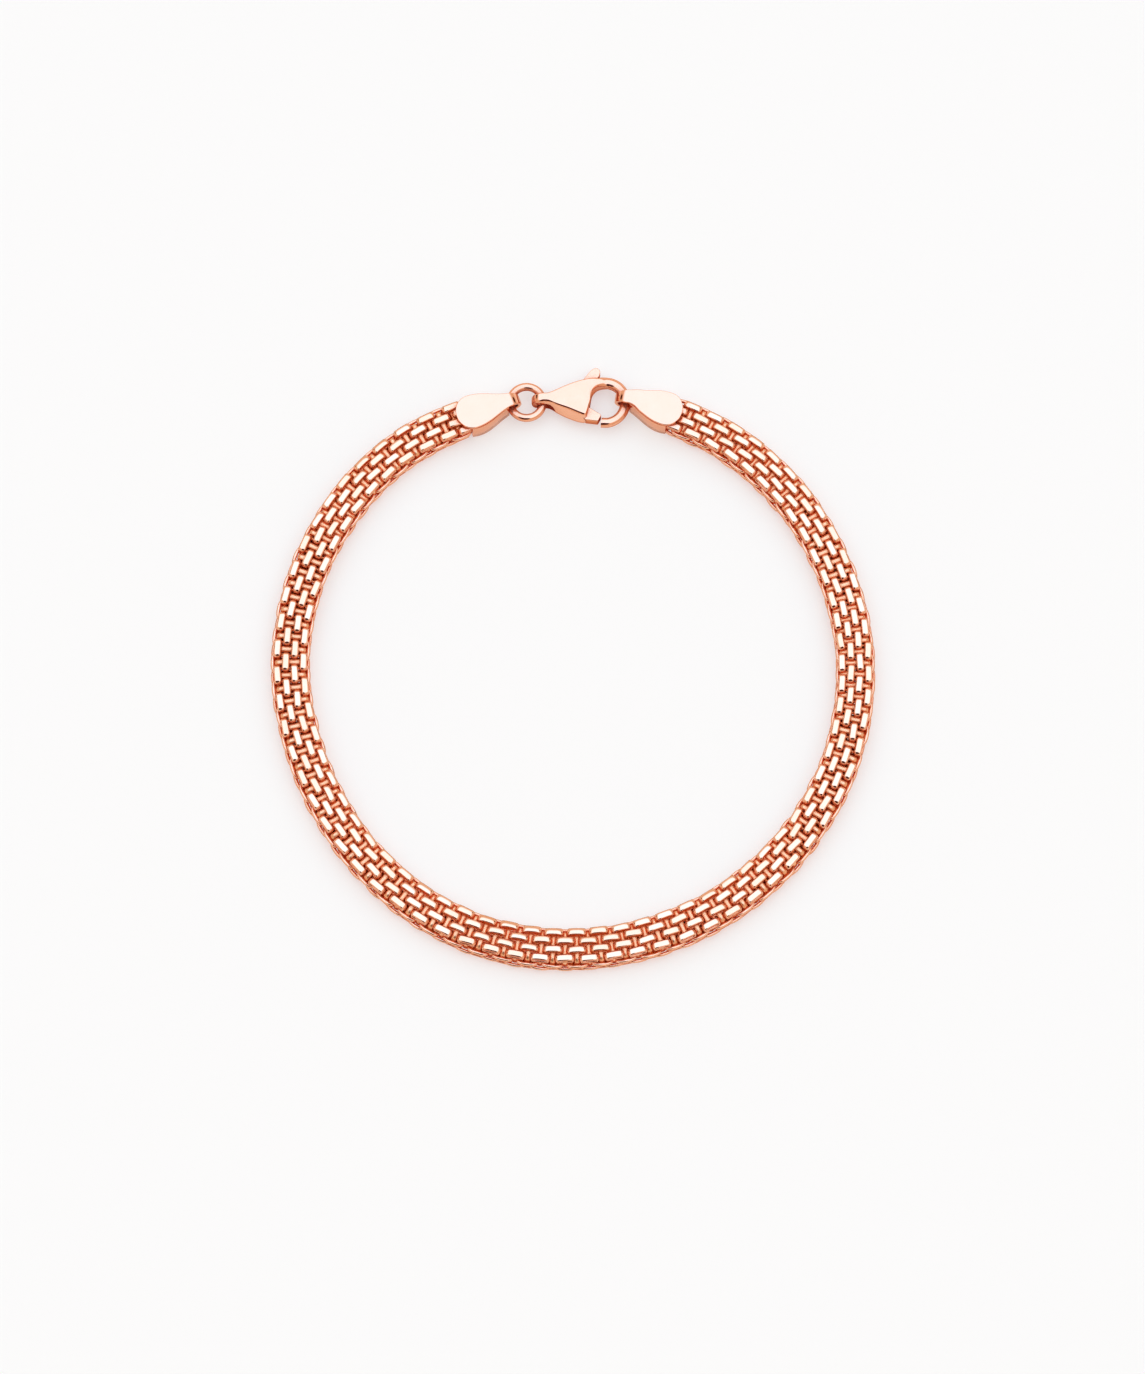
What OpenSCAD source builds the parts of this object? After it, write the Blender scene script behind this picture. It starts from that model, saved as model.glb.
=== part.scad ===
// Bismarck chain bracelet, closed with its lobster clasp and lying flat on a surface.
// Millimetres, +Z up. The origin is on the surface, under the middle of the outline.

/* [Chain] */
// Width of the chain band
chain_w = 4.1; // [4:0.05:4.2]
// Height of the chain band
chain_h = 2.4; // [2.3:0.05:2.5]
// Distance between neighbouring rows of links
row_gap = 0.88; // [0.84:0.01:0.9]

/* [End caps] */
// Width of a cap at the chain
cap_w = 3.5; // [3.3:0.05:3.6]
// Width of a cap at its loop
neck_w = 1.05; // [0.9:0.05:1.1]
// Height of a cap
cap_h = 3; // [2.95:0.05:3.1]
// Thickness of a cap's sheet
sheet = 0.35; // [0.3:0.01:0.36]

/* [Clasp] */
// Thickness of the clasp
clasp_h = 2.5; // [2.4:0.05:2.6]
// Radius of the wire of the hook
hook_wire_r = 0.53; // [0.48:0.01:0.54]
// Radius of the wire of the jump ring
ring_wire_r = 0.4; // [0.35:0.01:0.42]
// Radius of the pin that the lever turns on
pin_r = 0.35; // [0.3:0.01:0.4]
// Radial clearance between the lever and its pin
pin_play = 0.03; // [0.02:0.01:0.05]
// Angle by which the lever is open
lever_open = 0; // [0:1:25]

/* [Hidden] */
$fn = 64;

// The layout is drawn round the middle of the loop, and then moved so that the middle
// of its outline is the origin.
outline_middle = [-0.02, 2.27];

// The loop as it lies, from the left cap round to the right cap. Each row is one bend:
// the radius of its centre line, and the angle that it turns through.
bends = [
    [25, 37],
    [28.5, 41],
    [31, 41],
    [26, 41],
    [28.5, 41],
    [29, 41],
    [29, 41],
    [27, 38],
];
function bend_r(i) = bends[i][0];
function bend_turn(i) = bends[i][1];

// A cap's own frame has its origin in the middle of its rounded end, and its X axis
// runs to its loop.
cap_left_at = [-10.08, 28.38];
cap_left_turn = 19;
cap_mouth = -0.6;
chain_gap = 0.1;
plate_h = 0.4;
wall_inset = 0.08;
loop_r = cap_h / 2;
loop_hinge = 3.6;

// Where bend i starts: its point, and the direction that the chain runs there.
function along(p, angle, d) = p + d * [cos(angle), sin(angle)];
function bend_end(p, angle, r, turn) = [
    p.x + r * (sin(angle + turn) - sin(angle)),
    p.y - r * (cos(angle + turn) - cos(angle)),
];
chain_start = along(cap_left_at, cap_left_turn, cap_mouth - chain_gap);
function bend_angle(i) = i == 0 ? 180 + cap_left_turn : bend_angle(i - 1) + bend_turn(i - 1);
function bend_start(i) = i == 0
    ? chain_start
    : bend_end(bend_start(i - 1), bend_angle(i - 1), bend_r(i - 1), bend_turn(i - 1));
chain_end = bend_start(len(bends));
cap_right_turn = bend_angle(len(bends)) - 360;
cap_right_at = along(chain_end, cap_right_turn, chain_gap - cap_mouth);

// The clasp lies along X. Its parts are placed by the middle of its hook.
hook_at = [3.35, 29.88];
hook_r = 2.07;
hook_tip_angle = -108;
hook_root_angle = 137;
clasp_mid = clasp_h / 2;
pivot_at = [0.25, 29.78];
tail_x = -2.9;
tail_w = 1.1;
body_end_x = 0.85;
slot_h = 1.4;
lever_h = 1.3;
lever_reach = 2.98;
gate_gap_w = 0.08;
hub_r = 0.75;
ring_at = [-4.66, 29.86];
ring_r = 1.65;

// Chain
// Rows of links seen from the end: four above, four below and one on each side,
// with the outer rows a little lower than the inner ones.
module band_profile() {
    lobe_r = row_gap / 2 + 0.03;
    crown = 0.1;
    top = chain_h / 2 - lobe_r;
    for (side = [-1, 1]) {
        translate([side * (chain_w / 2 - lobe_r), 0]) circle(lobe_r);
        for (face = [-1, 1]) {
            translate([side * row_gap / 2, face * top]) circle(lobe_r);
            translate([side * row_gap * 3 / 2, face * (top - crown)]) circle(lobe_r);
        }
    }
    square([chain_w - 2 * lobe_r, chain_h - 2 * lobe_r], center = true);
}

module bend(i) {
    angle = bend_angle(i);
    middle = bend_start(i) + bend_r(i) * [-sin(angle), cos(angle)];
    translate([middle.x, middle.y, chain_h / 2])
        rotate([0, 0, angle - 90])
            rotate_extrude(angle = bend_turn(i), $fn = 360)
                translate([bend_r(i), 0]) band_profile();
}

// The narrow end of the band that a cap holds.
module tongue(cap_at, turn) {
    tongue_l = 2;
    tongue_w = 2.2;
    tongue_h = 1.6;
    translate([cap_at.x, cap_at.y, chain_h / 2])
        rotate([0, 0, turn])
            translate([cap_mouth + tongue_l / 2 - chain_gap * 4, 0, 0])
                cube([tongue_l, tongue_w, tongue_h], center = true);
}

module chain() {
    color([0.86, 0.57, 0.46]) {
        for (i = [0 : len(bends) - 1])
            bend(i);
        tongue(cap_left_at, cap_left_turn);
        tongue(cap_right_at, cap_right_turn);
    }
}

// End caps
// Half widths along a cap, from its mouth to its neck.
module flanks(start, end, inset) {
    wide = cap_w / 2 - inset;
    polygon([
        [start, wide], [0.5, wide], [3.3, 0.82 - inset], [end, neck_w / 2 - inset],
        [end, inset - neck_w / 2], [3.3, inset - 0.82], [0.5, -wide], [start, -wide],
    ]);
}

// Strip bent down round the wire that the cap is joined to, seen from its side.
// reach is the distance from the end of the plate to the outside of the bend.
module loop_strip(reach) {
    rotate([90, 0, 0])
        linear_extrude(neck_w, center = true)
            translate([reach - loop_r, loop_r])
                difference() {
                    union() {
                        circle(loop_r);
                        translate([-loop_r, -loop_r]) square([loop_r, cap_h]);
                    }
                    circle(loop_r - sheet);
                    translate([-loop_r * 2, sheet - loop_r]) square([loop_r * 2, cap_h - 2 * sheet]);
                }
}

module end_cap(loop_turn, reach) {
    neck_x = 4;
    wall_end = 3.1;
    // rounded plate on top
    translate([0, 0, cap_h - plate_h])
        linear_extrude(plate_h) {
            circle(d = cap_w);
            flanks(0, neck_x, 0);
        }
    // bottom
    linear_extrude(sheet) flanks(cap_mouth, neck_x, wall_inset);
    // side walls, open at the mouth and at the loop
    difference() {
        linear_extrude(cap_h - plate_h / 2) flanks(cap_mouth, neck_x, wall_inset);
        translate([0, 0, sheet])
            linear_extrude(cap_h) flanks(cap_mouth - 1, neck_x + 1, wall_inset + sheet);
        translate([wall_end, -cap_w / 2, sheet]) cube([2, cap_w, cap_h]);
    }
    translate([loop_hinge, 0, 0])
        rotate([0, 0, loop_turn])
            loop_strip(reach);
}

module cap_left() {
    color([0.9, 0.62, 0.5])
        translate(cap_left_at)
            rotate([0, 0, cap_left_turn])
                end_cap(0, 1.45);
}

module cap_right() {
    color([0.9, 0.62, 0.5])
        translate(cap_right_at)
            rotate([0, 0, cap_right_turn])
                end_cap(12, 1.75);
}

// Jump ring
module jump_ring() {
    color([0.88, 0.6, 0.48])
        translate([ring_at.x, ring_at.y, clasp_mid])
            rotate_extrude()
                translate([ring_r, 0]) circle(ring_wire_r);
}

// Clasp
// Drop-shaped body, widest at its middle height: each layer is
// [height from the middle, radius at the tail, radius at the wide end].
body_layers = [[-1, 0.42, 1.6], [-0.75, 0.55, 2], [-0.3, 0.62, 2.2], [0.3, 0.62, 2.2], [0.75, 0.55, 2], [1, 0.42, 1.6]];
module drop_body() {
    layer_h = 0.02;
    translate([0, 0, clasp_mid])
        hull()
            for (layer = body_layers) {
                z = layer[0] * (clasp_mid - layer_h / 2);
                translate([tail_x, hook_at.y, z])
                    cylinder(r = layer[1], h = layer_h, center = true, $fn = 32);
                translate([body_end_x, hook_at.y, z])
                    cylinder(r = layer[2], h = layer_h, center = true, $fn = 48);
            }
}

// Thick root of the hook, which runs into the body.
module hook_root() {
    root_angle = 100;
    root_r = 0.62;
    translate([0, 0, clasp_mid])
        hull() {
            translate([body_end_x, hook_at.y, 0])
                cylinder(r = 2, h = clasp_h * 0.7, center = true, $fn = 32);
            translate(concat(along(hook_at, root_angle, hook_r), 0))
                sphere(root_r, $fn = 24);
        }
}

// The hook's tip is cut to an arc about the pivot, a little outside the gate's end.
module hook() {
    difference() {
        translate([hook_at.x, hook_at.y, clasp_mid])
            rotate([0, 0, hook_tip_angle])
                rotate_extrude(angle = hook_root_angle - hook_tip_angle)
                    translate([hook_r, 0]) circle(hook_wire_r);
        translate([pivot_at.x, pivot_at.y, 0])
            intersection() {
                cylinder(r = lever_reach + gate_gap_w, h = clasp_h);
                translate([0, -clasp_h * 2, 0]) cube(clasp_h * 2);
            }
    }
}

// Rounded tail round the eye that the jump ring passes through.
module tail() {
    translate([tail_x, hook_at.y, clasp_mid])
        rotate([90, 0, 0])
            cylinder(r = clasp_mid, h = tail_w, center = true);
}

module tail_eye() {
    eye_r = 0.68;
    eye_l = 1;
    translate([tail_x, hook_at.y, clasp_mid])
        rotate([90, 0, 0])
            linear_extrude(4, center = true) {
                circle(eye_r);
                translate([0, -eye_r]) square([eye_l - eye_r, 2 * eye_r]);
                translate([eye_l - eye_r, 0]) circle(eye_r);
            }
}

// Slice of a circle between two angles.
module slice(from, to, r) {
    middle = (from + to) / 2;
    intersection() {
        circle(r);
        polygon([
            [0, 0], 2 * r * [cos(from), sin(from)], 2 * r * [cos(middle), sin(middle)],
            2 * r * [cos(to), sin(to)],
        ]);
    }
}

// Room for the lever inside the body, shut and open.
module lever_slot() {
    hub_room = 0.25;
    end_room = 0.04;
    tab_angles = [44, 128];
    translate([pivot_at.x, pivot_at.y, clasp_mid])
        linear_extrude(slot_h, center = true) {
            circle(hub_r + hub_room);
            intersection() {
                circle(lever_reach + end_room);
                polygon([[-0.46, -0.66], [1.72, -2.69], [4, -3], [4, 1.15], [0.9, 0.26], [0, 0.5]]);
            }
            slice(tab_angles[0], tab_angles[1], lever_reach * 2);
        }
}

// The body stops short of the hook's tip, where the gate shuts the gap.
module gate_gap() {
    translate([0, 0, -1])
        linear_extrude(clasp_h + 2)
            polygon([[1.95, 29.3], [1.25, 28.1], [1.2, 27], [3.4, 27], [3.4, 29.3]]);
}

module clasp_body() {
    color([0.9, 0.63, 0.51]) {
        difference() {
            union() {
                difference() {
                    union() {
                        drop_body();
                        hook_root();
                    }
                    gate_gap();
                    translate([hook_at.x, hook_at.y, -1])
                        cylinder(r = hook_r - hook_wire_r, h = clasp_h + 2);
                }
                hook();
                tail();
            }
            tail_eye();
            lever_slot();
        }
        translate([pivot_at.x, pivot_at.y, clasp_mid])
            cylinder(r = pin_r, h = slot_h + 0.4, center = true);
    }
}

// Lever, drawn about its pivot. The gate's end is an arc about the pivot, so that it
// swings clear of the hook's tip.
module gate() {
    intersection() {
        cylinder(r = lever_reach, h = lever_h, center = true);
        linear_extrude(lever_h, center = true)
            polygon([[0.2, 0.3], [1.5, -0.62], [2.8, -1.5], [2.3, -2.22], [1.05, -1.95], [-0.4, -0.6]]);
    }
}

module thumb_tab() {
    tip = [2.09, 3.27];
    tip_r = 0.4;
    linear_extrude(lever_h, center = true)
        polygon([[-0.6, 0.4], [0.95, 2.55], [1.78, 3.52], [2.48, 3.2], [2.38, 2.62], [0.45, 0.45]]);
    translate(tip) cylinder(r = tip_r, h = lever_h, center = true);
}

module clasp_lever() {
    color([0.92, 0.66, 0.54])
        translate([pivot_at.x, pivot_at.y, clasp_mid])
            rotate([0, 0, lever_open])
                difference() {
                    union() {
                        cylinder(r = hub_r, h = lever_h, center = true);
                        gate();
                        thumb_tab();
                    }
                    cylinder(r = pin_r + pin_play, h = lever_h + 1, center = true);
                }
}

translate([-outline_middle.x, -outline_middle.y, 0]) {
    chain();
    cap_left();
    cap_right();
    jump_ring();
    clasp_body();
    clasp_lever();
}
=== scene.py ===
import math

import bpy
import numpy as np
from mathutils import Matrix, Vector


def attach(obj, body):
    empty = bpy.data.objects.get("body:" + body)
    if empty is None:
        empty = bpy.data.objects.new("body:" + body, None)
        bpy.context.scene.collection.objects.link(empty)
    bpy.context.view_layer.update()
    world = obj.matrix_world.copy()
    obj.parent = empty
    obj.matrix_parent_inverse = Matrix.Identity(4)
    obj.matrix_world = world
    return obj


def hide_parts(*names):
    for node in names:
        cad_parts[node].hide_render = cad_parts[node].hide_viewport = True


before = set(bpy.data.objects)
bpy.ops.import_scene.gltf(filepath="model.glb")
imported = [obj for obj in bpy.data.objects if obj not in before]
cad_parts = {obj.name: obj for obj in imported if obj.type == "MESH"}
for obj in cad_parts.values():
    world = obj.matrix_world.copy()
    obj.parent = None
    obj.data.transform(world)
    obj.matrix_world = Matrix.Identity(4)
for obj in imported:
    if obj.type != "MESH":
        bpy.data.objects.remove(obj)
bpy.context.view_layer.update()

mm = 0.001                          # everything below is in millimetres until it becomes a mesh
rng = np.random.default_rng(7)      # the small unevenness of the links


# rows x cols grid of points as quads; a closed direction joins its last line to its first
def gridQuads(rows, cols, closedRows=False, closedCols=True, first=0):
    r = np.arange(rows if closedRows else rows - 1)
    c = np.arange(cols if closedCols else cols - 1)
    r0, c0 = np.meshgrid(r, c, indexing="ij")
    r1, c1 = (r0 + 1) % rows, (c0 + 1) % cols
    quads = np.stack([r0 * cols + c0, r0 * cols + c1, r1 * cols + c1, r1 * cols + c0], -1)
    return quads.reshape(-1, 4) + first


# many copies of one grid, one after another
def repeatQuads(quads, pointsEach, copies):
    return (quads[None] + (np.arange(copies) * pointsEach)[:, None, None]).reshape(-1, 4)


# Makes a mesh piece of points in millimetres and faces, a list of arrays with one size each.
# sharp is the angle in degrees past which an edge stays sharp, tone a value for every point.
def addPiece(name, points, faces, material, body, sharp=None, tone=None):
    mesh = bpy.data.meshes.new(name)
    loops = np.concatenate([f.ravel() for f in faces])
    sizes = np.concatenate([np.full(len(f), f.shape[1]) for f in faces])
    starts = np.concatenate([[0], np.cumsum(sizes)[:-1]])
    mesh.vertices.add(len(points))
    mesh.vertices.foreach_set("co", (np.asarray(points) * mm).astype(np.float32).ravel())
    mesh.loops.add(len(loops))
    mesh.loops.foreach_set("vertex_index", loops.astype(np.int32))
    mesh.polygons.add(len(sizes))
    mesh.polygons.foreach_set("loop_start", starts.astype(np.int32))
    mesh.update(calc_edges=True)
    mesh.validate()
    mesh.polygons.foreach_set("use_smooth", sizes <= 4)
    if sharp is not None:
        mesh.set_sharp_from_angle(angle=math.radians(sharp))
    if tone is not None:
        layer = mesh.attributes.new("tone", "FLOAT", "POINT")
        layer.data.foreach_set("value", tone.astype(np.float32))
    piece = bpy.data.objects.new(name, mesh)
    bpy.context.scene.collection.objects.link(piece)
    mesh.materials.append(material)
    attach(piece, body)
    return piece


# "#RRGGBB" in sRGB to linear RGBA
def linear(hexColour):
    c = np.array([int(hexColour[i:i + 2], 16) for i in (1, 3, 5)]) / 255
    c = np.where(c <= 0.04045, c / 12.92, ((c + 0.055) / 1.055) ** 2.4)
    return (*c.tolist(), 1.0)


# adds a node with its settings, input values and links
def addNode(tree, kind, settings=None, values=None, links=None):
    node = tree.nodes.new(kind)
    for key, value in (settings or {}).items():
        setattr(node, key, value)
    for key, value in (values or {}).items():
        node.inputs[key].default_value = value
    for key, output in (links or {}).items():
        tree.links.new(output, node.inputs[key])
    return node


def emptyMaterial(name):
    material = bpy.data.materials.new(name)
    material.use_nodes = True
    material.node_tree.nodes.clear()
    return material, material.node_tree


# Rose gold, 14 carat, tumbled and polished: a mirror with a faint haze that changes over
# a few tenths of a millimetre, and a hair's breadth of waviness from the polishing wheel.
# Painted shade: where ambient occlusion finds the surface enclosed within the given distance, the colour turns to a
# redder shade colour and the gloss goes, standing in for the shade in the gaps between links, under edges and in the
# clasp's hole.
def roseGold(name, look):
    material, tree = emptyMaterial(name)
    out = addNode(tree, "ShaderNodeOutputMaterial")
    metal = addNode(tree, "ShaderNodeBsdfPrincipled",
                    values={"Specular Tint": linear(look["grazing"]), "Specular IOR Level": 0.0})
    where = addNode(tree, "ShaderNodeTexCoord").outputs["Object"]
    haze = addNode(tree, "ShaderNodeTexNoise", values={"Scale": 1 / (look["hazeMm"] * mm), "Detail": 3.0},
                   links={"Vector": where})
    wave = addNode(tree, "ShaderNodeTexNoise", values={"Scale": 1 / (look["waveMm"] * mm), "Detail": 1.5},
                   links={"Vector": where})
    smoothest, roughest = look["roughness"]
    rough = addNode(tree, "ShaderNodeMapRange",
                    values={"From Min": 0.3, "From Max": 0.7, "To Min": smoothest, "To Max": roughest},
                    links={"Value": haze.outputs["Fac"]})
    tone = addNode(tree, "ShaderNodeAttribute", {"attribute_name": "tone"})
    tint = addNode(tree, "ShaderNodeMath", {"operation": "MULTIPLY_ADD"},
                   {1: 0.5}, {0: haze.outputs["Fac"], 2: tone.outputs["Fac"]})
    mix = addNode(tree, "ShaderNodeMix", {"data_type": "RGBA"},
                  {"A": linear(look["colour"]), "B": linear(look["warmer"])}, {"Factor": tint.outputs[0]})
    # painted shade: how enclosed the surface is, by ambient occlusion, sets how much shade colour goes in and how
    # much metal is left
    openness = addNode(tree, "ShaderNodeAmbientOcclusion", {"samples": 4},
                       {"Distance": look["paintedShadeMm"] * mm})
    paintedShade = addNode(tree, "ShaderNodeMapRange", {"interpolation_type": "SMOOTHSTEP"},
                     {"From Min": 0.15, "From Max": 0.95}, {"Value": openness.outputs["AO"]})
    # the surface's own colour mixed with the painted shade colour
    shadedColour = addNode(tree, "ShaderNodeMix", {"data_type": "RGBA"}, {"A": linear(look["paintedShade"])},
                   {"Factor": paintedShade.outputs["Result"], "B": mix.outputs["Result"]})
    bump = addNode(tree, "ShaderNodeBump", values={"Strength": 1.0, "Distance": look["waveDepthMm"] * mm},
                   links={"Height": wave.outputs["Fac"]})
    tree.links.new(paintedShade.outputs["Result"], metal.inputs["Metallic"])
    tree.links.new(shadedColour.outputs["Result"], metal.inputs["Base Color"])
    tree.links.new(rough.outputs["Result"], metal.inputs["Roughness"])
    tree.links.new(bump.outputs["Normal"], metal.inputs["Normal"])
    tree.links.new(metal.outputs["BSDF"], out.inputs["Surface"])
    return material


# Flattened and tumbled, so bright on the faces; the warm red in between is painted shade.
goldOfLinks = roseGold("polishedRoseGoldWire", {
    "colour": "#F8CCB0", "warmer": "#F4BE98", "grazing": "#F2B894", "paintedShade": "#F0701A", "paintedShadeMm": 1.25,
    "hazeMm": 0.5, "waveMm": 0.9, "waveDepthMm": 0.0015, "roughness": (0.08, 0.15)})
# As it came from the drawing plate: satin, because the polish never touches it.
goldOfHoops = roseGold("drawnRoseGoldWire", {
    "colour": "#F8CCA6", "warmer": "#F2BA92", "grazing": "#F0B080", "paintedShade": "#F07A20", "paintedShadeMm": 1.0,
    "hazeMm": 0.4, "waveMm": 0.5, "waveDepthMm": 0.002, "roughness": (0.24, 0.34)})
# Stamped from rolled sheet and buffed flat: the clearest mirror of the four.
goldOfCaps = roseGold("polishedRoseGoldSheet", {
    "colour": "#F7C4A7", "warmer": "#F4BA9A", "grazing": "#FBE6D8", "paintedShade": "#D0561E", "paintedShadeMm": 0.35,
    "hazeMm": 1.2, "waveMm": 2.0, "waveDepthMm": 0.001, "roughness": (0.07, 0.12)})
# Cast and polished: a mirror with slow waves over its rounded faces. Its painted shade reaches furthest, reddening
# its side walls and the inside of its hole.
goldOfClasp = roseGold("castPolishedRoseGold", {
    "colour": "#F7C2A4", "warmer": "#F3B692", "grazing": "#F0B896", "paintedShade": "#C04A1A", "paintedShadeMm": 2.8,
    "hazeMm": 1.0, "waveMm": 1.6, "waveDepthMm": 0.001, "roughness": (0.08, 0.15)})
print("materials made")


# radius (mm) and angle (degrees) of each bend of the chain, from the left cap round to the right
loop = {
    "bends": [(25, 37), (28.5, 41), (31, 41), (26, 41), (28.5, 41), (29, 41), (29, 41), (27, 38)],
    "start": (-10.722, 25.882),     # mm
    "heading": 199,                 # degrees from +X
    "height": 2.4,                  # of the band
}


# point of the centre line and heading at each distance s along the chain: on a bend of
# radius r that starts at p with heading h, p + r (sin(h + s/r) - sin h, cos h - cos(h + s/r))
def centreLine(s):
    radius, turn = np.array(loop["bends"], float).T
    turn = np.radians(turn)
    heading = np.radians(loop["heading"]) + np.concatenate([[0], np.cumsum(turn)])
    reach = np.concatenate([[0], np.cumsum(radius * turn)])
    step = radius[:, None] * np.stack([np.sin(heading[1:]) - np.sin(heading[:-1]),
                                       np.cos(heading[:-1]) - np.cos(heading[1:])], -1)
    corner = np.array(loop["start"]) + np.concatenate([[[0, 0]], np.cumsum(step, 0)])
    bend = np.clip(np.searchsorted(reach, s, side="right") - 1, 0, len(radius) - 1)
    r, h = radius[bend], heading[bend]
    now = h + (s - reach[bend]) / r
    point = corner[bend] + r[..., None] * np.stack([np.sin(now) - np.sin(h), np.cos(h) - np.cos(now)], -1)
    return point, now


loopLength = sum(r * math.radians(t) for r, t in loop["bends"])


# a point n outwards from the centre line and z above the surface, at distance s: the centre
# line's point plus n (sin heading, -cos heading)
def onBand(s, n, z):
    point, heading = centreLine(s)
    outwards = np.stack([np.sin(heading), -np.cos(heading)], -1)
    flat = point + np.asarray(n)[..., None] * outwards
    return np.concatenate([flat, np.broadcast_to(z, flat.shape[:-1])[..., None]], -1)


links = {
    "pitches": 63,          # link and gap, along one row
    # outside length, depth inwards from the face of the band, width and thickness of the
    # flattened wire, and the exponent of the link's outline seen from the side
    "face": (1.98, 0.88, 0.74, 0.26, 3.4),
    "edge": (2.3, 1.0, 0.42, 0.37, 2.2),        # the same along the two edges
    "crown": 2.8,           # exponent of the wire's section
    "flare": 0.18,          # how much wider the wire grows where it turns at the link's ends
    "round": 0.45,          # how much of the width the very ends lose
    "yaw": 2.5, "roll": 3.5, "shift": 0.025,    # small unevenness, degrees and mm
    "surface": 0.01,        # the lowest that a link reaches
    "inCap": 0.3, "edgeInCap": 0.9,             # first and last link of a row, from the band's ends
    # faces round a link and round its wire, on the upper side, the edges and the lower side
    "fineness": {"upper": (16, 8), "edges": (16, 6), "lower": (12, 6)},
}
hoop = {
    "oval": (1.45, 0.62, 5),            # half width, half height and squareness
    "cross": (0.31, 0.15, 16, 8),       # half width of the wire, half thickness, faces round both
    "linking": (0.13, 0.1, 12, 6),
}
pitch = loopLength / links["pitches"]

# The weave isn't even: how far its links have slid along, in pitches, at distances in mm.
slack = [(0, -0.05), (8, 0.07), (14, 0.05), (20, -0.12), (26, 0.11), (32, 0.28), (38, 0.43), (44, 0.56), (56, 0.7),
         (62, 0.81), (70, 0.8), (78, 0.61), (86, 0.36), (104, 0.4), (112, 0.57), (118, 0.63), (124, 0.43),
         (130, 0.2), (138, 0.3), (143, 0.25), (150, -0.04), (157, -0.22)]


# distance along the chain of a place counted in pitches, at least a margin from both ends;
# three rounds of even = (count + slack at even) pitch settle to a hair
def placeAt(count, margin=links["inCap"]):
    at, slid = np.array(slack, float).T
    even = count * pitch
    for _ in range(3):
        even = (count + np.interp(even, at, slid)) * pitch
    return np.clip(even, margin, loopLength - margin)


# How the band lies off its even curve, measured in the photo: distance along it, how far out
# its middle is, and how far it has rolled over outwards in mm per mm of height.
wander = [(0, 0, 0.05), (6, 0, 0.15), (12, -0.08, 0.16), (18, -0.12, 0.09), (24, -0.05, -0.01), (33, 0.05, -0.04),
          (42, -0.08, -0.11), (48, -0.08, -0.15), (54, 0, -0.13), (66, 0.02, -0.26), (72, 0.02, -0.3),
          (84, -0.02, -0.22), (96, 0.06, -0.2), (102, 0.11, -0.18), (108, 0.15, -0.07), (117, 0.21, -0.03),
          (126, 0.14, -0.05), (133, 0, 0), (144, -0.04, 0.13), (150, 0, 0.18), (157, 0, 0.05)]


# sideways place of the band's middle and its roll, at distances along the chain
def lieOf(s):
    at, outwards, roll = np.array(wander, float).T
    return np.interp(s, at, outwards), np.interp(s, at, roll)


# rows of links round the flattened oval of the band: offset outwards and height of the face
# from the band's middle, tilt of the face from straight up towards outwards, phase
upperRows = [(1.35, 1.13, 7, 0), (0.45, 1.2, 1.5, 0.5), (-0.45, 1.2, -1.5, 0), (-1.35, 1.13, -7, 0.5)]
edgeRows = [(1.98, 0.2, 84, 0.5), (1.96, -0.4, 98, 0), (-1.98, 0.2, -84, 0), (-1.96, -0.4, -98, 0.5)]
lowerRows = [(1.33, -1.08, 168, 0.5), (0.44, -1.17, 178, 0), (-0.44, -1.17, 182, 0.5), (-1.33, -1.08, 192, 0)]


# Points and outward normals of the oval |x/a|^m + |z/b|^m = 1: x is a |cos t|^(2/m) and z is
# b |sin t|^(2/m), with the signs of cos t and sin t. They crowd where the outline turns.
def superellipse(a, b, m, count):
    t = (np.arange(count) + 0.5) / count * 2 * np.pi
    x = a * np.sign(np.cos(t)) * np.abs(np.cos(t)) ** (2 / m)
    z = b * np.sign(np.sin(t)) * np.abs(np.sin(t)) ** (2 / m)
    normal = np.stack([np.sign(x) * np.abs(x / a) ** (m - 1) / a, np.sign(z) * np.abs(z / b) ** (m - 1) / b], -1)
    return np.stack([x, z], -1), normal / np.linalg.norm(normal, axis=-1, keepdims=True)


# One link: the wire's section, a flattened oval, carried round a squarer oval and offset
# along its normals. Axis 0 of the result runs round the link, axis 1 round the section;
# the last axis is along the chain, across it, and out of the band's face.
def linkShape(around, perSection, length, depth, width, thickness, squareness):
    half = thickness / 2
    line, out = superellipse(length / 2 - half, depth / 2 - half, squareness, around)
    section = superellipse(width / 2, half, links["crown"], perSection)[0]
    shape = np.empty((around, perSection, 3))
    shape[..., 0] = line[:, :1] + out[:, :1] * section[:, 1]
    lengthwise = np.abs(out[:, 0])
    flare = 1 + links["flare"] * lengthwise ** 1.5 - links["round"] * lengthwise ** 6
    shape[..., 1] = section[None, :, 0] * flare[:, None]
    shape[..., 2] = line[:, 1:] + out[:, 1:] * section[:, 1] - depth / 2
    return shape


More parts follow.
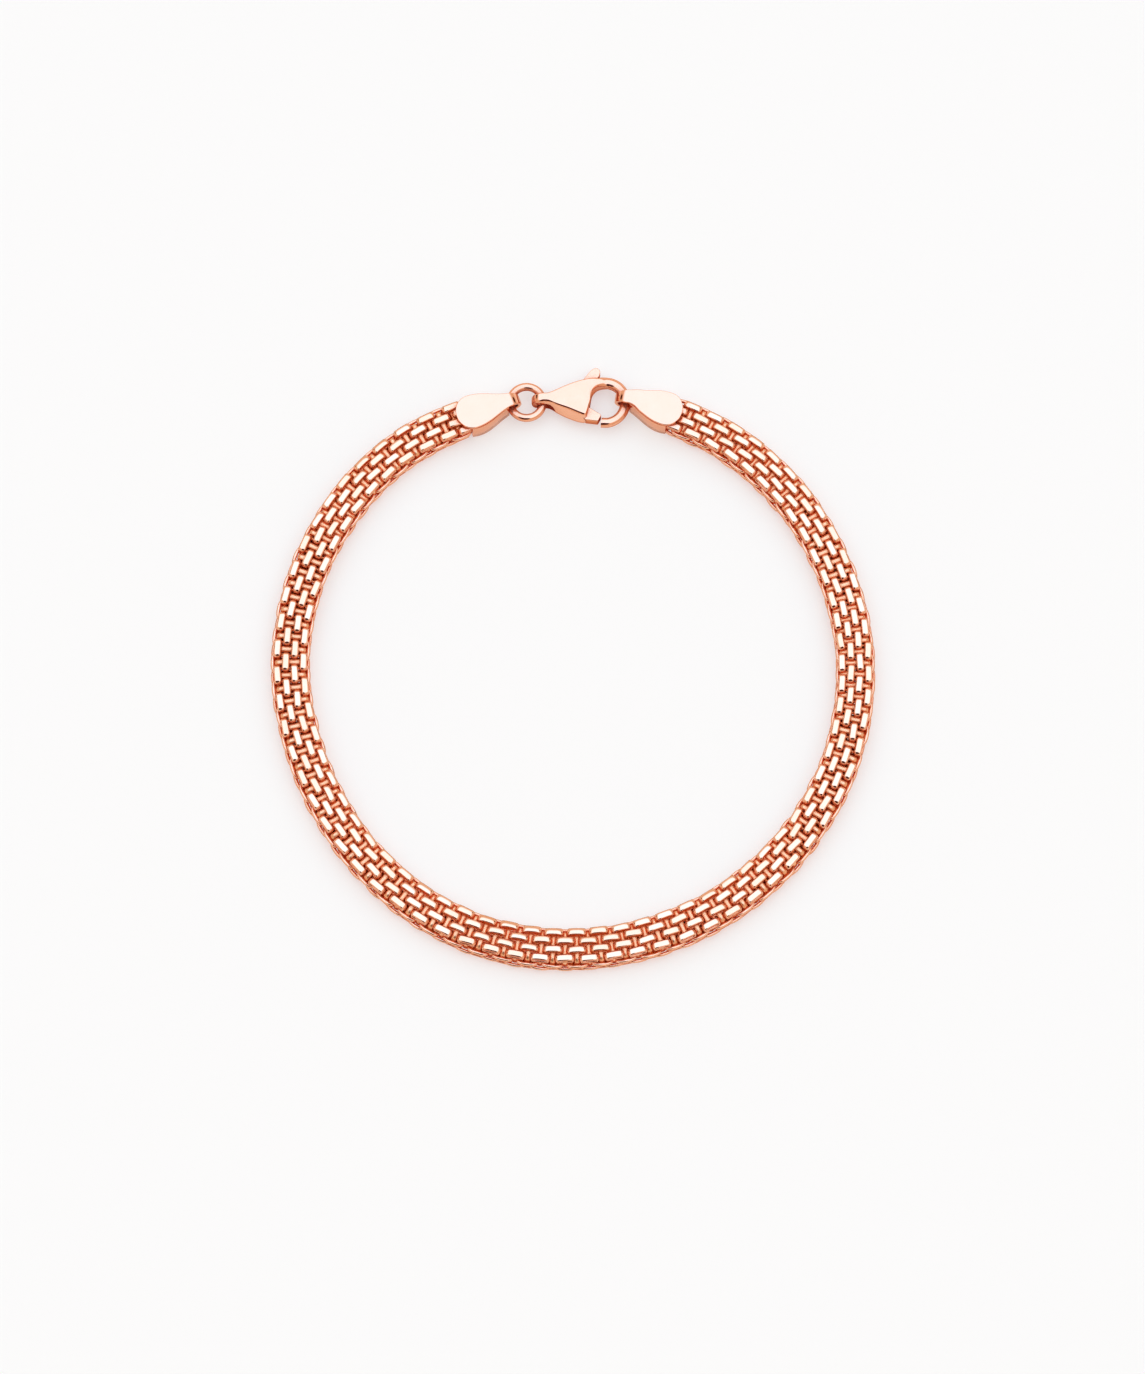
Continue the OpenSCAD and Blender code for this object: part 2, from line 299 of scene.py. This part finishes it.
# Places copies of a link along rows, each turned a little at random about its own middle.
# Its point (x, y, z) goes x along the band, y cos turn + z sin turn outwards across it, and
# z cos turn - y sin turn up. The rows start and end inside the caps.
def rowsOfLinks(rows, ofEdge, *size):
    shape = linkShape(*size)
    grids, tones = [], []
    for offset, face, tilt, phase in rows:
        first = 0.5 if phase == 0 else int(ofEdge)
        s = placeAt(np.arange(first, links["pitches"] + 0.1), links["edgeInCap" if ofEdge else "inCap"])
        count = len(s)
        yaw, roll = np.radians([links["yaw"], links["roll"]])[:, None] * rng.normal(0, 1, (2, count))
        slip = rng.normal(0, links["shift"], (3, count))
        tone = rng.uniform(-0.25, 0.25, count)
        x, y, z = (np.broadcast_to(shape[..., k], (count, *shape.shape[:2])) for k in range(3))
        lies, rolled = lieOf(s)
        turn = np.radians(tilt) + (roll + rolled)[:, None, None]
        c, d = np.cos(yaw)[:, None, None], np.sin(yaw)[:, None, None]
        x, y = c * x - d * y, d * x + c * y
        ends = centreLine(s)[1][:, None, None]
        out = y * np.cos(turn) + z * np.sin(turn) + offset
        up = z * np.cos(turn) - y * np.sin(turn) + face + loop["height"] / 2
        middle = onBand(s + slip[0], slip[1] + lies + rolled * face, slip[2] * 0.4)[:, None, None]
        grids.append(middle + np.stack([x * np.cos(ends) + out * np.sin(ends),
                                        x * np.sin(ends) - out * np.cos(ends), up], -1))
        tones.append(np.repeat(tone, shape.shape[0] * shape.shape[1]))
    points = np.concatenate(grids).reshape(-1, 3)
    each = shape.shape[0] * shape.shape[1]
    points[:, 2] = np.maximum(points[:, 2], links["surface"])
    quads = gridQuads(shape.shape[0], shape.shape[1], True, True)
    return points, repeatQuads(quads, each, len(points) // each), np.concatenate(tones)


# Hoops across the band, through the holes of the links: an oval carrying an elliptic wire
# of the given half width along the chain and half thickness. A point is the oval's point
# plus thick sin v along its normal, and wide cos v along the chain.
def hoops(s, wide, thick, around, perSection):
    middle, out = superellipse(*hoop["oval"], around)
    x, z = middle.T
    v = np.linspace(0, 2 * np.pi, perSection, endpoint=False)
    along = wide * np.cos(v)
    rise = thick * np.sin(v)
    across = x[:, None] + out[:, :1] * rise
    up = z[:, None] + out[:, 1:] * rise + loop["height"] / 2
    point, heading = centreLine(s)
    h = heading[:, None, None]
    lies, rolled = (v[:, None, None] for v in lieOf(s))
    across = across + lies + rolled * (up - loop["height"] / 2)
    grid = np.stack([point[:, 0, None, None] + along * np.cos(h) + across * np.sin(h),
                     point[:, 1, None, None] + along * np.sin(h) - across * np.cos(h),
                     np.broadcast_to(up, (len(s), *up.shape))], -1)
    quads = gridQuads(around, perSection, True, True)
    return grid.reshape(-1, 3), repeatQuads(quads, around * perSection, len(s))


for side, rows, size in [("upper", upperRows, "face"), ("edges", edgeRows, "edge"), ("lower", lowerRows, "face")]:
    points, quads, tone = rowsOfLinks(rows, side == "edges", *links["fineness"][side], *links[size])
    piece = addPiece("links_" + side, points, [quads], goldOfLinks, "bracelet", tone=tone)
    if side == "upper":
        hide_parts("chain")
halves = np.arange(2 * links["pitches"])        # half pitches: a row's links sit at every second one
for name, at in [("cross", halves[1:] / 2), ("linking", (halves + 0.5) / 2)]:
    points, quads = hoops(placeAt(at), *hoop[name])
    addPiece(name + "_hoops", points, [quads], goldOfHoops, "bracelet")
print("chain made:", links["pitches"], "pitches of", round(pitch, 3), "mm")


# closed outline with every corner cut back by the given length and filled with a parabola
# arc: (1-t)^2 a + 2t(1-t) corner + t^2 b
def easedOutline(corners, cutBack, steps):
    corners = np.array(corners, float)
    cutBack = np.broadcast_to(cutBack, len(corners))[:, None]
    before = np.roll(corners, 1, 0) - corners
    after = np.roll(corners, -1, 0) - corners
    a = corners + before / np.linalg.norm(before, axis=1, keepdims=True) * cutBack
    b = corners + after / np.linalg.norm(after, axis=1, keepdims=True) * cutBack
    t = np.linspace(0, 1, steps)[None, :, None]
    arc = (1 - t) ** 2 * a[:, None] + 2 * t * (1 - t) * corners[:, None] + t ** 2 * b[:, None]
    return arc.reshape(-1, 2)


# Plate between two heights: the outline pulled in by edge (1 - cos) at the rounded rims,
# along the mean of the two neighbouring sides' normals. Counter-clockwise outlines.
def plateGrid(outline, low, high, edge, steps):
    side = np.roll(outline, -1, 0) - outline
    normal = np.stack([side[:, 1], -side[:, 0]], -1)
    normal /= np.maximum(np.linalg.norm(normal, axis=1, keepdims=True), 1e-9)
    previous = np.roll(normal, 1, 0)
    miter = (normal + previous) / np.maximum(1 + (normal * previous).sum(1, keepdims=True), 0.3)
    angle = np.linspace(0, np.pi / 2, steps)
    pull = np.concatenate([edge * (1 - np.sin(angle)), edge * (1 - np.cos(angle))])
    height = np.concatenate([low + edge * (1 - np.cos(angle)), high - edge * (1 - np.sin(angle))])
    grid = np.empty((2 * steps, len(outline), 3))
    grid[..., :2] = outline - miter * pull[:, None, None]
    grid[..., 2] = height[:, None]
    return grid


def plate(outline, low, high, edge, steps=4):
    return closedTube(plateGrid(outline, low, high, edge, steps))


# grid whose rows are closed loops, with its first and last loops filled
def closedTube(grid):
    rows, cols = grid.shape[:2]
    first = np.arange(cols)[None, ::-1]
    last = (np.arange(cols) + (rows - 1) * cols)[None]
    return grid.reshape(-1, 3), [gridQuads(rows, cols), first, last]


# several (points, faces) as one, faces of one size together
def joined(parts):
    points, bySize, start = [], {}, 0
    for p, faces in parts:
        for f in faces:
            bySize.setdefault(f.shape[1], []).append(f + start)
        points.append(p)
        start += len(p)
    return np.concatenate(points), [np.concatenate(f) for f in bySize.values()]


# turns points about Z by an angle in degrees, and moves them to a place on the surface
def placed(points, at, turn):
    c, d = math.cos(math.radians(turn)), math.sin(math.radians(turn))
    return points @ np.array([[c, d, 0], [-d, c, 0], [0, 0, 1]]) + np.array([*at, 0])


# smooth curve through rows of values, by cubic Hermite pieces with the slopes of the
# neighbours, at `count` even steps of the length run by the first `lead` columns
def smoothRows(table, count, lead):
    table = np.array(table, float)
    run = np.concatenate([[0], np.cumsum(np.linalg.norm(np.diff(table[:, :lead], axis=0), axis=1))])
    slope = np.gradient(table, run, axis=0)
    at = np.linspace(0, run[-1], count)
    k = np.clip(np.searchsorted(run, at, side="right") - 1, 0, len(run) - 2)
    step = (run[k + 1] - run[k])[:, None]
    t = (at - run[k])[:, None] / step
    return ((2 * t ** 3 - 3 * t ** 2 + 1) * table[k] + (t ** 3 - 2 * t ** 2 + t) * step * slope[k]
            + (3 * t ** 2 - 2 * t ** 3) * table[k + 1] + (t ** 3 - t ** 2) * step * slope[k + 1])


# in a cap's own frame: X runs from the middle of its rounded end to its loop
cap = {
    # distance along, half width of the sheet, flat
    "sheetEdge": [(-1.72, 0.0), (-1.66, 0.5), (-1.4, 1.05), (-1.0, 1.48), (-0.45, 1.72), (0.3, 1.74),
                  (1.3, 1.55), (2.0, 1.31), (2.6, 1.08), (3.2, 0.87), (3.8, 0.72), (4.3, 0.67), (5.0, 0.56),
                  (6.0, 0.47), (8.5, 0.45)],
    "walls": [(-0.6, 1.74), (-0.1, 1.82), (0.5, 1.82), (1.2, 1.68), (2.0, 1.4), (2.7, 1.1), (3.62, 0.77)],
    "top": 3.0, "sheet": 0.35, "edge": 0.08,    # height, thickness, rounding of the rims
    "loopHinge": 3.6,       # where the loop turns sideways, along the cap
    "tail": 1.0,            # how far the loop's sheet runs back below
    "foot": 0.18,           # rounding of the trough's foot
    "plug": (-1.1, 1.1, 0.45, 2.0),             # band's soldered end: from and to both ways, low, high
}


# The top plate and the loop are one sheet: an outline with rounded rims, then everything
# beyond the bend's start wrapped round half a circle and run back below. A point at height z
# above the circle's middle goes to (sin, cos) of distance / radius, times its own height.
def capSheet(turn, reach):
    r, flat = cap["top"] / 2, smoothRows(cap["sheetEdge"], 110, 2)
    start = cap["loopHinge"] + reach - r
    flat = flat[flat[:, 0] < start + np.pi * r + cap["tail"]]
    outline = np.concatenate([flat[1:] * [1, -1], flat[::-1]])
    grid = plateGrid(outline, cap["top"] - cap["sheet"], cap["top"], cap["edge"], 4)
    layers, n = grid.shape[:2]
    k = np.arange(len(flat) - 2)
    strip = np.stack([k, k + 1, n - 3 - k, n - 2 - k], -1)
    tip = np.array([[n - 1, 0, n - 2]])
    last = (layers - 1) * n
    faces = [gridQuads(layers, n), strip[:, ::-1], tip[:, ::-1], strip + last, tip + last]
    points = grid.reshape(-1, 3)
    x, height = points[:, 0], points[:, 2] - r
    swing = np.clip((x - start) / r, 0, np.pi)
    beyond = np.maximum(x - start - np.pi * r, 0)
    bent = np.stack([np.minimum(x, start) + height * np.sin(swing) - beyond, points[:, 1],
                     r + height * np.cos(swing)], -1)
    ease = np.clip((bent[:, 0] - cap["loopHinge"] + 1.2) / 1.4, 0, 1)[:, None]
    turned = placed(bent - [cap["loopHinge"], 0, 0], (cap["loopHinge"], 0), turn)
    return bent + (turned - bent) * ease * ease * (3 - 2 * ease), faces


# trough: a U section (side, distance in from the outside, height) carried along the cap
def capTrough():
    wall, foot, rim, e = cap["sheet"], cap["foot"], cap["top"] - cap["sheet"] + 0.01, 0.05
    half = [(foot, 0), (e, e), (0, foot), (0, rim - e), (e, rim), (wall - e, rim), (wall, rim - e), (wall, wall)]
    section = [(1, *p) for p in half] + [(-1, *p) for p in half[::-1]]
    side, inset, height = np.array(section, float).T
    along = smoothRows(cap["walls"], 24, 2)
    grid = np.empty((len(along), len(section), 3))
    grid[..., 0] = along[:, :1]
    grid[..., 1] = side * (along[:, 1:] - inset)
    grid[..., 2] = height
    return closedTube(grid)


# soldered end of the band, inside the cap
def capPlug():
    a, b, low, high = cap["plug"]
    return plate(easedOutline([(a, a), (b, a), (b, b), (a, b)], 0.2, 4), low, high, 0.1)


for name, node, at, turn, loopTurn, reach in [
        ("end_cap_left", "cap_left", (-10.06, 26.11), 19, 0, 1.45),
        ("end_cap_right", "cap_right", (9.45, 26.429), 160, 12, 1.75)]:
    points, faces = joined([capSheet(loopTurn, reach), capTrough()])
    piece = addPiece(name, placed(points, at, turn), faces, goldOfCaps, "bracelet", sharp=40)
    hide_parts(node)
    points, faces = capPlug()
    addPiece(name + "_plug", placed(points, at, turn), faces, goldOfLinks, "bracelet", sharp=40)
print("end caps made")


# torus: (R + r cos v) out, r sin v up
def torus(at, height, radius, wire, around, perSection):
    u = np.linspace(0, 2 * np.pi, around, endpoint=False)[:, None]
    v = np.linspace(0, 2 * np.pi, perSection, endpoint=False)[None]
    out = radius + wire * np.cos(v)
    grid = np.stack([at[0] + out * np.cos(u), at[1] + out * np.sin(u),
                     np.broadcast_to(height + wire * np.sin(v), (around, perSection))], -1)
    return grid.reshape(-1, 3), [gridQuads(around, perSection, True, True)]


clasp = {
    "middle": 1.25,                     # height of the clasp's middle above the surface
    "ringAt": (-4.64, 27.59), "ringRadius": 1.65, "ringWire": 0.4,
    "hookAt": (3.37, 27.61),
    "pivotAt": (0.27, 27.51), "pin": 0.35,
    "slot": (0.57, 1.93), "lever": (0.6, 1.9),      # low and high
    "hub": 0.75, "play": 0.03,          # outer radius of the lever's hub, its play on the pin
    "eyeAt": (-2.88, 0.68, 0.5),       # middle of the round end, radius, run of the slot
    "farEdge": 0.16, "nearEdge": 0.4, "sideEdge": 0.5,     # rounding of the body's edges
}
points, faces = torus(clasp["ringAt"], clasp["middle"], clasp["ringRadius"], clasp["ringWire"], 96, 28)
piece = addPiece("joining_ring", points, faces, goldOfClasp, "bracelet")
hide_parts("jump_ring")


# Sections of the clasp from its tail to the tip of its hook. Each one stands upright on the
# line from an outer to an inner point: outer x, y, inner x, y, half height, how far the top
# stands in from the outer and the inner side, and roundness (0 bevelled body, 1 round wire).
sections = [
    (-4.12, 27.95, -4.12, 27.45, 0.14, 0.03, 0.03, 0),
    (-4.06, 28.1, -4.06, 27.3, 0.4, 0.04, 0.06, 0),
    (-3.9, 28.22, -3.9, 27.18, 0.72, 0.06, 0.1, 0),
    (-3.6, 28.3, -3.6, 27.12, 1.02, 0.08, 0.16, 0),
    (-3.2, 28.34, -3.2, 27.08, 1.2, 0.1, 0.22, 0),
    (-2.88, 28.36, -2.88, 27.06, 1.25, 0.12, 0.28, 0),
    (-2.5, 28.42, -2.5, 26.98, 1.25, 0.16, 0.36, 0),
    (-2.1, 28.62, -2.1, 26.78, 1.25, 0.24, 0.46, 0),
    (-1.75, 28.82, -1.75, 26.54, 1.25, 0.3, 0.56, 0),
    (-1.1, 29.14, -1.1, 26.14, 1.25, 0.3, 0.74, 0),
    (-0.45, 29.42, -0.45, 25.81, 1.25, 0.3, 0.86, 0),
    (0.2, 29.68, 0.2, 25.56, 1.23, 0.3, 0.84, 0),
    (0.71, 29.85, 0.71, 25.41, 1.2, 0.3, 0.77, 0),
    (0.95, 29.93, 1.12, 25.37, 1.18, 0.3, 0.66, 0),
    (1.15, 29.99, 1.39, 25.46, 1.15, 0.3, 0.56, 0),
    (1.3, 30.03, 1.5, 25.85, 1.12, 0.3, 0.42, 0),
    (1.45, 30.07, 1.64, 26.5, 1.09, 0.3, 0.28, 0),
    (1.62, 30.11, 1.8, 27.1, 1.06, 0.3, 0.22, 0),
    (1.8, 30.14, 1.88, 27.65, 1.02, 0.3, 0.22, 0.02),
    (2.0, 30.16, 1.98, 28.15, 0.98, 0.28, 0.22, 0.05),
    (2.3, 30.18, 2.2, 28.52, 0.91, 0.26, 0.25, 0.12),
    (2.65, 30.19, 2.55, 28.8, 0.82, 0.24, 0.28, 0.3),
    (3.0, 30.2, 2.95, 28.96, 0.73, 0.2, 0.28, 0.6),
]


# the hook's wire: angle about its middle, distance out, radius of the wire
def hookSections():
    angle, out, wire = np.array([
        (90, 2.0, 0.59), (70, 2.0, 0.58), (50, 2.0, 0.57), (30, 2.0, 0.55), (10, 2.0, 0.53), (-10, 2.01, 0.52),
        (-30, 2.04, 0.51), (-50, 2.1, 0.5), (-70, 2.16, 0.5), (-85, 2.19, 0.5), (-95, 2.19, 0.5)], float).T
    away = np.stack([np.cos(np.radians(angle)), np.sin(np.radians(angle))], -1)
    far = clasp["hookAt"] + away * (out + wire)[:, None]
    near = clasp["hookAt"] + away * (out - wire)[:, None]
    still = np.zeros(len(angle))
    rows = np.stack([*far.T, *near.T, wire * 1.02, still + 0.2, still + 0.2, still + 1], -1)
    return np.concatenate([rows, [(2.87, 24.94, 2.98, 25.94, 0.49, 0.2, 0.2, 1)]])


# Section: a six-sided outline, widest at its middle height, with rounded corners; every point
# is its corner's centre plus the corner's radius along the normal. Blended by roundness into
# the ellipse point with the same normal.
def claspSections(count):
    rows = smoothRows(np.concatenate([sections, hookSections()]), count, 4)
    far, near, high, slantFar, slantNear, roundness = rows[:, :2], rows[:, 2:4], *rows[:, 4:].T
    half = np.linalg.norm(far - near, axis=1) / 2
    lean = np.arctan2(slantFar, high), np.pi - np.arctan2(slantNear, high)
    quarter = np.full(count, np.pi / 2)
    vertices = [(half, 0 * high, -lean[0], lean[0]), (half - slantFar, high, lean[0], quarter),
                (slantNear - half, high, quarter, lean[1]), (-half, 0 * high, lean[1], 2 * np.pi - lean[1]),
                (slantNear - half, -high, 2 * np.pi - lean[1], 3 * quarter),
                (half - slantFar, -high, 3 * quarter, 2 * np.pi - lean[0])]
    across, up, normals = [], [], []
    for k, (x, z, start, end) in enumerate(vertices):
        name = "sideEdge" if k in (0, 3) else "farEdge" if k in (1, 5) else "nearEdge"
        radius = np.minimum(clasp[name], high * 0.35)
        mid, spread = (start + end) / 2, (end - start) / 2
        cx = x - radius * np.cos(mid) / np.cos(spread)
        cz = z - radius * np.sin(mid) / np.cos(spread)
        normal = start[:, None] + (end - start)[:, None] * np.linspace(0, 1, 4 if k in (0, 3) else 8)
        across.append(cx[:, None] + radius[:, None] * np.cos(normal))
        up.append(cz[:, None] + radius[:, None] * np.sin(normal))
        normals.append(normal)
    across, up, normals = (np.concatenate(v, 1) for v in (across, up, normals))
    k = np.clip(roundness, 0, 1)[:, None]
    across = (1 - k) * across + k * half[:, None] * np.cos(normals)
    up = (1 - k) * up + k * high[:, None] * np.sin(normals)
    middle, axis = (far + near) / 2, (far - near) / (2 * half[:, None])
    grid = np.empty((*across.shape, 3))
    grid[..., :2] = middle[:, None] + axis[:, None] * across[..., None]
    grid[..., 2] = clasp["middle"] + up
    return grid[:, ::-1]


# takes the cutters' solids out of a piece for good
def cutAway(piece, cutters):
    for k, (points, faces) in enumerate(cutters):
        cutter = addPiece(f"cutter{k}", points, faces, goldOfClasp, "bracelet")
        cut = piece.modifiers.new("cut", "BOOLEAN")
        cut.operation, cut.object, cut.solver = "DIFFERENCE", cutter, "EXACT"
        mesh = bpy.data.meshes.new_from_object(piece.evaluated_get(bpy.context.evaluated_depsgraph_get()))
        piece.modifiers.clear()
        piece.data = mesh
        bpy.data.objects.remove(cutter)


# corners counted from the lever's pin
def aboutPivot(corners):
    return np.array(corners, float) + clasp["pivotAt"]


# room for the lever: its hub, the sweep of its gate and the sweep of its thumb tab
def leverRooms():
    low, high = clasp["slot"]
    ring = np.radians(np.linspace(0, 360, 40, endpoint=False))
    hub = aboutPivot(np.stack([np.cos(ring), np.sin(ring)], -1))
    arc = np.radians(np.linspace(-44, 16, 24))
    gate = aboutPivot([(0, 0.3), (-0.35, -0.5), (0.84, -1.76), (1.09, -1.975), (2.1, -2.09),
                       *(3.14 * np.stack([np.cos(arc), np.sin(arc)], -1))])
    tab = aboutPivot([(0, 0), (4.4, 4.3), (0, 6), (-3.4, 4.4)])
    return [plate(o, low, high, 0.001, 2) for o in (hub, gate, tab)]


# the eye: a slot with round ends, run through the tail from side to side
def tailEye():
    x, radius, run = clasp["eyeAt"]
    angle = np.radians(np.concatenate([np.linspace(90, 270, 16), np.linspace(-90, 90, 16)]))
    shift = np.repeat([0, run], 16)
    points, faces = plate(np.stack([radius * np.cos(angle) + shift, radius * np.sin(angle)], -1), -2, 2, 0.001, 2)
    turned = np.stack([points[:, 0] + x, clasp["hookAt"][1] - points[:, 2], points[:, 1] + clasp["middle"]], -1)
    return turned, faces


points, faces = closedTube(claspSections(150))
body = addPiece("lobster_body", points, faces, goldOfClasp, "bracelet")
cutAway(body, [tailEye(), *leverRooms()])
body.data.shade_smooth()
body.data.set_sharp_from_angle(angle=math.radians(32))
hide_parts("clasp_body")


# a plate for the gate, one for the thumb tab, and for the hub a section turned about the pin
def leverParts():
    low, high = clasp["lever"]
    gate = easedOutline(aboutPivot([(0.2, 0.3), (-0.3, -0.45), (0.86, -1.74), (1.1, -1.95), (2.32, -2.1),
                                    (2.68, -1.44), (1.45, -0.65)]), [0.2, 0.1, 0.05, 0.05, 0.12, 0.14, 0.2], 6)
    tab = easedOutline(aboutPivot([(0.45, 0.45), (2.44, 2.6), (2.62, 3.25), (2.15, 3.62), (1.65, 3.35), (0.94, 2.45),
                                   (-0.45, 0.6), (-0.1, 0.3)]), [0.1, 0.25, 0.3, 0.27, 0.27, 0.3, 0.2, 0.2], 8)
    ring = np.radians(np.linspace(0, 360, 40, endpoint=False))
    outer, inner = clasp["hub"], clasp["pin"] + clasp["play"]
    section = [(inner, low), (outer, low), (outer, high), (inner, high)]
    grid = np.array([[(clasp["pivotAt"][0] + r * math.cos(a), clasp["pivotAt"][1] + r * math.sin(a), z)
                      for r, z in section] for a in ring])
    hub = (grid.reshape(-1, 3), [gridQuads(len(ring), 4, True, True)])
    return [plate(gate, low, high, 0.06, 5), plate(tab, low, high, 0.07, 5), hub]


points, faces = joined(leverParts())
lever = addPiece("lobster_lever", points, faces, goldOfClasp, "lever", sharp=35)
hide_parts("clasp_lever")
ring = np.radians(np.linspace(0, 360, 32, endpoint=False))
points, faces = plate(aboutPivot(clasp["pin"] * np.stack([np.cos(ring), np.sin(ring)], -1)), 0.4, 2.1, 0.02, 3)
addPiece("lever_pin", points, faces, goldOfClasp, "bracelet", sharp=35)
print("clasp made")


# the floor: matt white paper, six metres square, that glows a little as overexposed paper does
floorMesh = bpy.data.meshes.new("floor")
floorMesh.from_pydata([(-3, -3, 0), (3, -3, 0), (3, 3, 0), (-3, 3, 0)], [], [(0, 1, 2, 3)])
floor = bpy.data.objects.new("floor", floorMesh)
bpy.context.scene.collection.objects.link(floor)
paper, tree = emptyMaterial("mattWhitePaper")
paperOut = addNode(tree, "ShaderNodeOutputMaterial")
paperSkin = addNode(tree, "ShaderNodeBsdfPrincipled",
                    values={"Base Color": linear("#AA9C8D"), "Roughness": 0.9,
                            "Emission Color": linear("#FFFFFF"), "Emission Strength": 0.56})
tree.links.new(paperSkin.outputs["BSDF"], paperOut.inputs["Surface"])
floorMesh.materials.append(paper)

sky = bpy.data.worlds.new("studio")
bpy.context.scene.world = sky
sky.use_nodes = True
tree = sky.node_tree
tree.nodes.clear()
studio = {
    "box": (1.28, 1.73, 2.31),      # softbox overhead
    "boxEnd": 50,                   # degrees from its middle to its end
    "boxBlur": 0.12,                # softness of its end, as a cosine
    "boxLean": 12,                  # degrees from straight above to its middle, to the far side
    "tent": (0.88, 0.74, 0.62),     # the room beyond it
    # dark cards: degrees round from the near side to the right, degrees above the level,
    # half width and half height in degrees
    "cards": [(-12, 43, 20, 24), (123.7, 17, 7, 8), (-113.6, 17, 7, 8)],
    "cardColour": (0.1, 0.02, 0.008, 1),
}
way = addNode(tree, "ShaderNodeTexCoord").outputs["Generated"]
lean = math.radians(studio["boxLean"])
towardsBox = addNode(tree, "ShaderNodeVectorMath", {"operation": "DOT_PRODUCT"},
                     {1: (0, math.sin(lean), math.cos(lean))}, {0: way}).outputs["Value"]


# how much of a card is seen in the direction way: 1 inside the ellipse
# (d . right / wide)^2 + (d . up / tall)^2 < 1, on the card's own side of the room
def cardSeen(bearing, elevation, wide, tall):
    b, e = math.radians(bearing), math.radians(elevation)
    facing = Vector((math.sin(b) * math.cos(e), -math.cos(b) * math.cos(e), math.sin(e)))
    right = Vector((math.cos(b), math.sin(b), 0))
    total = None
    for axis, size in [(right, wide), (facing.cross(right), tall)]:
        scaled = addNode(tree, "ShaderNodeVectorMath", {"operation": "DOT_PRODUCT"},
                         {1: axis / math.sin(math.radians(size))}, {0: way}).outputs["Value"]
        square = addNode(tree, "ShaderNodeMath", {"operation": "MULTIPLY"}, links={0: scaled, 1: scaled})
        total = square.outputs[0] if total is None else addNode(
            tree, "ShaderNodeMath", {"operation": "ADD"}, links={0: total, 1: square.outputs[0]}).outputs[0]
    inside = addNode(tree, "ShaderNodeMapRange", {"interpolation_type": "SMOOTHSTEP"},
                     {"From Min": 1.2, "From Max": 0.8}, {"Value": total}).outputs["Result"]
    ahead = addNode(tree, "ShaderNodeVectorMath", {"operation": "DOT_PRODUCT"}, {1: facing}, {0: way})
    side = addNode(tree, "ShaderNodeMath", {"operation": "GREATER_THAN"}, {1: 0.0}, {0: ahead.outputs["Value"]})
    return addNode(tree, "ShaderNodeMath", {"operation": "MULTIPLY"},
                   links={0: inside, 1: side.outputs[0]}).outputs[0]


boxEdge = math.cos(math.radians(studio["boxEnd"]))
overhead = addNode(tree, "ShaderNodeMapRange", {"interpolation_type": "SMOOTHSTEP"},
                   {"From Min": boxEdge - studio["boxBlur"], "From Max": boxEdge + studio["boxBlur"]},
                   {"Value": towardsBox})
light = addNode(tree, "ShaderNodeMix", {"data_type": "RGBA"},
                {"A": (*studio["tent"], 1), "B": (*studio["box"], 1)},
                {"Factor": overhead.outputs["Result"]}).outputs["Result"]
for card in studio["cards"]:
    light = addNode(tree, "ShaderNodeMix", {"data_type": "RGBA"}, {"B": studio["cardColour"]},
                    {"Factor": cardSeen(*card), "A": light}).outputs["Result"]
backdrop = addNode(tree, "ShaderNodeBackground", links={"Color": light})
addNode(tree, "ShaderNodeOutputWorld", links={"Surface": backdrop.outputs["Background"]})

# degrees above the level, mm, the point looked at, and the focal length in pixels of the photo
view = {"elevation": 75, "distance": 550, "target": (0.02, -2.27, 1.2), "focalPixels": 5500, "photoHigh": 1374}
camData = bpy.data.cameras.new("camera")
camera = bpy.data.objects.new("camera", camData)
bpy.context.scene.collection.objects.link(camera)
e = math.radians(view["elevation"])
back = Vector((0, -math.cos(e), math.sin(e)))
camera.location = (Vector(view["target"]) + back * view["distance"]) * mm
camera.rotation_euler = (-back).to_track_quat("-Z", "Y").to_euler()
camData.sensor_width = 36
camData.lens = camData.sensor_width * view["focalPixels"] / view["photoHigh"]
camData.clip_start, camData.clip_end = 0.01, 20
bpy.context.scene.camera = camera
bpy.context.scene.view_settings.view_transform = "Standard"
bpy.context.scene.view_settings.gamma = 0.8        # the photo's strong contrast
print("stage made")
